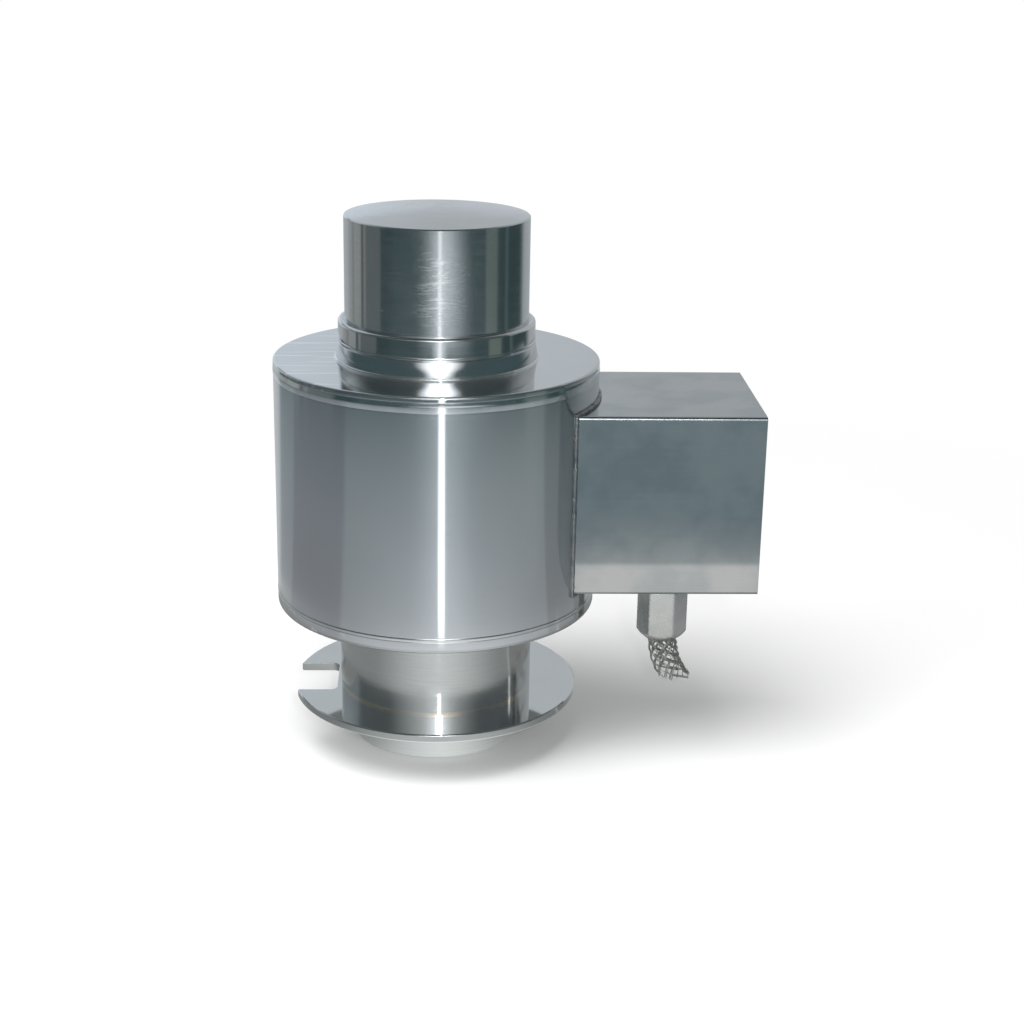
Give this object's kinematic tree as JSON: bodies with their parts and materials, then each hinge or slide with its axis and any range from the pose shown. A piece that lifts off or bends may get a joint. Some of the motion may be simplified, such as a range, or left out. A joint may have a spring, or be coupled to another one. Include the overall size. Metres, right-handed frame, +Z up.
{
  "type": "compression load cell",
  "caption": "Stainless column load cell: domed ends, a sealed round canister, an electronics box welded to its side with a cable gland below, and a slotted anti-rotation plate at its foot.",
  "frame": {"origin": "on the column axis, in the flat land of the lower domed end, where the load leaves the cell", "axes": "+Z up along the column axis towards the loading button, +X towards the electronics box (the slot of the anti-rotation plate is on -X), +Y towards the rear, on which side of the electronics box the circuit board sits"},
  "size_m": [0.1321, 0.0892, 0.1516],
  "materials": {
    "column_steel": "fine turned and polished stainless steel",
    "canister_steel": "polished stainless steel with a soft sheen",
    "cover_steel": "turned and polished stainless steel",
    "plate_steel": "mirror-polished stainless steel",
    "box_steel": "satin stainless steel",
    "weld_steel": "rippled weld metal, slightly straw-tinted",
    "gland_metal": "satin nickel-plated metal",
    "seal_rubber": "matt black rubber",
    "board_green": "green solder resist over glass laminate",
    "component_black": "matt black moulded packages",
    "terminal_grey": "matt grey moulding",
    "fixing_steel": "zinc-plated steel",
    "gauge_foil": "amber backing over foil",
    "solder": "dull solder",
    "glass_bush": "dark sealing glass",
    "cable_jacket": "matt black jacket",
    "wire_sleeve": "glossy red-brown insulation",
    "braid_wire": "tinned wire, woven and frayed"
  },
  "bodies": {
    "root": {"load_column": "column_steel", "strain_gauges": "gauge_foil", "solder_terminals": "solder", "gauge_leads": "wire_sleeve", "bridge_board": "board_green", "bridge_resistors": "component_black", "canister_tube": "canister_steel", "top_cover": "cover_steel", "bottom_cover": "cover_steel", "seal_collar": "cover_steel", "top_seam_weld": "weld_steel", "bottom_seam_weld": "weld_steel", "collar_weld": "weld_steel", "neck_weld": "weld_steel", "plate_weld": "weld_steel", "anti_rotation_plate": "plate_steel", "box_shell": "box_steel", "box_end_plate": "box_steel", "end_weld": "weld_steel", "box_weld": "weld_steel", "feedthrough_bush": "glass_bush", "bridge_cable": "cable_jacket", "circuit_board": "board_green", "board_standoffs": "fixing_steel", "board_screws": "fixing_steel", "board_components": "component_black", "terminal_block": "terminal_grey", "terminal_screws": "fixing_steel", "gland_washer": "gland_metal", "gland_body": "gland_metal", "gland_locknut": "gland_metal", "gland_seal": "seal_rubber", "gland_nut": "gland_metal", "cable_core": "cable_jacket", "cable_conductors": "wire_sleeve", "braid_sleeve": "braid_wire"}
  },
  "joints": []
}
